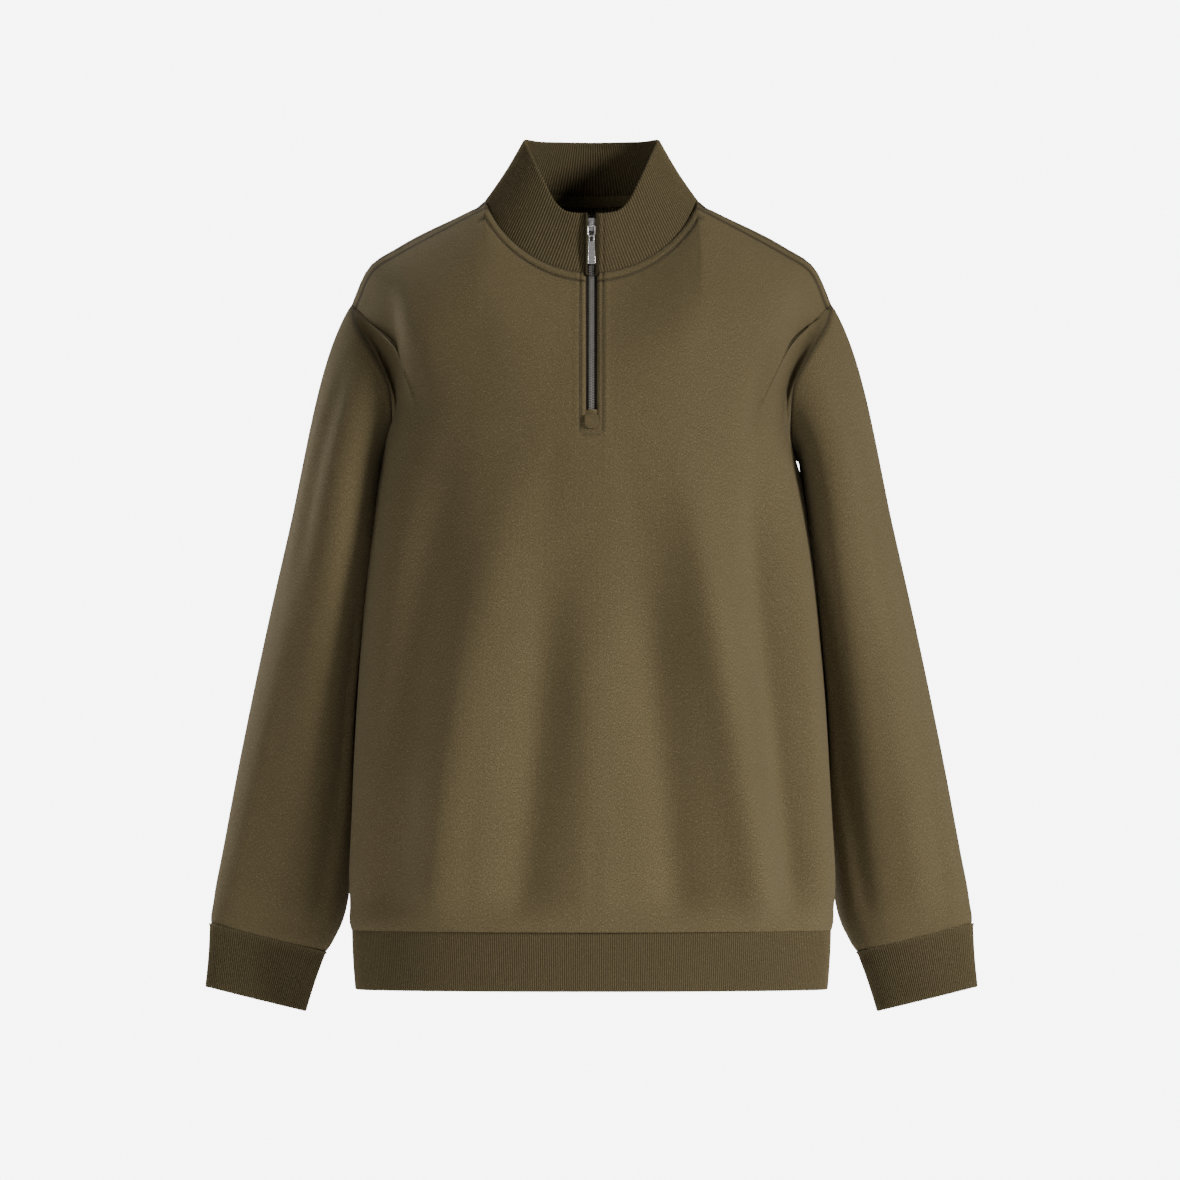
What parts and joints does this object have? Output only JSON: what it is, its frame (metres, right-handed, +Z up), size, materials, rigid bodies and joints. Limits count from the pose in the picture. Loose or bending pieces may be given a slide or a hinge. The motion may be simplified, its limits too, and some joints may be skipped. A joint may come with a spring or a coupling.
{
  "type": "half zip sweatshirt",
  "caption": "Olive half zip fleece sweatshirt, filled out as if worn, with a ribbed stand collar, ribbed cuffs and hem band, and a zip pull that swings.",
  "frame": {"origin": "midway between the two neck points, where the collar seam meets the shoulder seams, where the wearer's neck and shoulders hold the garment up", "axes": "+Z up, the front with its zip faces -Y, and +X is towards the wearer's left arm"},
  "size_m": [0.7072, 0.2494, 0.8014],
  "materials": {
    "olive_fleece": "brushed fleece, matt with a slight nap",
    "olive_rib": "rib knit, matt",
    "zip_tape": "dark woven tape, matt",
    "brushed_silver": "satin silver"
  },
  "bodies": {
    "garment": {"front": "olive_fleece", "back": "olive_fleece", "sleeve_upper_left": "olive_fleece", "sleeve_lower_left": "olive_fleece", "sleeve_upper_right": "olive_fleece", "sleeve_lower_right": "olive_fleece", "cuff_left": "olive_rib", "cuff_right": "olive_rib", "hem_band": "olive_rib", "collar": "olive_rib", "neck_tape": "olive_fleece", "zip_tape_left": "zip_tape", "zip_tape_right": "zip_tape", "zip_chain": "brushed_silver", "zip_end_tab": "olive_fleece", "zip_slider": "brushed_silver"},
    "link": {"pull_link": "brushed_silver"},
    "tab": {"pull_tab": "brushed_silver"}
  },
  "joints": [
    {"name": "link_hinge", "type": "hinge", "parent": "garment", "child": "link", "pos_m": [0, -0.05867, -0.02585], "axis": [-1, 0, 0], "range_deg": [0, 120]},
    {"name": "tab_hinge", "type": "hinge", "parent": "link", "child": "tab", "pos_m": [0, -0.06103, -0.03515], "axis": [-1, 0, 0], "range_deg": [0, 90]}
  ]
}
